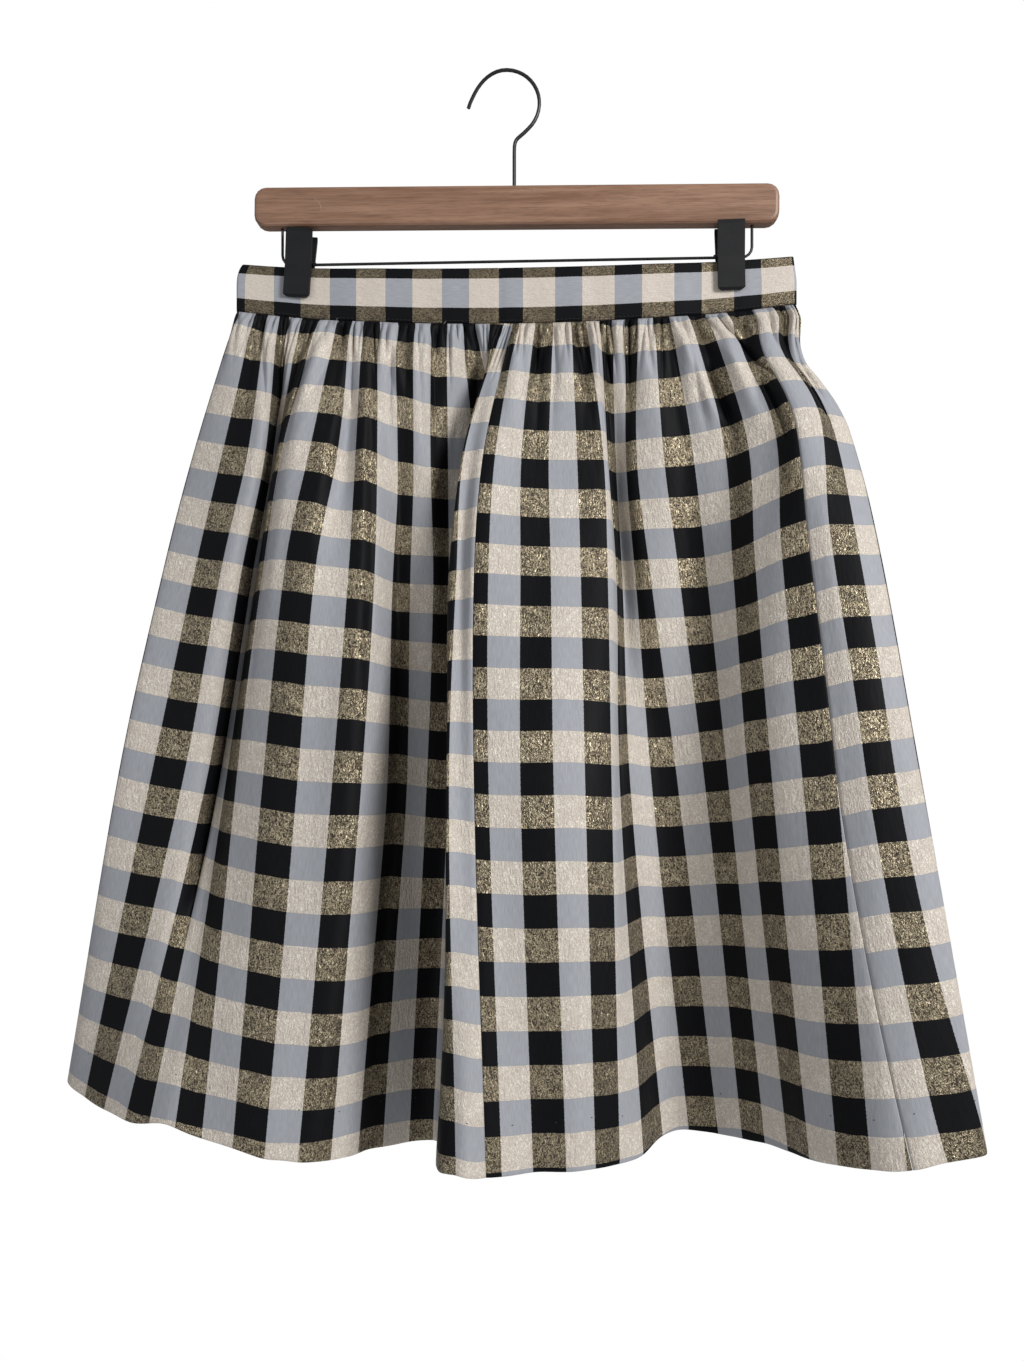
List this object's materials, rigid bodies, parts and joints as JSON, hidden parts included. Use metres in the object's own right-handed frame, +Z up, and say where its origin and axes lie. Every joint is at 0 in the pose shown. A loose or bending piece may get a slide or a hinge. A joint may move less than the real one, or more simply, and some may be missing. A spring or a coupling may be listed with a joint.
{
  "type": "gathered check skirt on a clip hanger",
  "caption": "Knee-length skirt gathered into a flat waistband, widening to a wavy hem, held by two clips under a wooden bar with a wire hook.",
  "frame": {"origin": "inside top of the hanger's hook, where a rail carries it", "axes": "+X to the right of the skirt as seen from its front, -Y towards the viewer, +Z up"},
  "size_m": [0.5828, 0.2434, 0.733],
  "materials": {
    "check_cloth": "matte woven check with a glitter thread",
    "bar_wood": "satin stained wood",
    "black_wire": "semi-gloss black",
    "clip_plastic": "matte black"
  },
  "bodies": {
    "root": {"skirt_front_left": "check_cloth", "skirt_front_right": "check_cloth", "skirt_back": "check_cloth", "waistband_front": "check_cloth", "waistband_back": "check_cloth", "hanger_bar": "bar_wood", "hanger_hook": "black_wire", "clip_wire": "black_wire", "clip_spring_left": "black_wire", "clip_spring_right": "black_wire", "clip_jaw_front_left": "clip_plastic", "clip_jaw_back_left": "clip_plastic", "clip_jaw_front_right": "clip_plastic", "clip_jaw_back_right": "clip_plastic"}
  },
  "joints": []
}
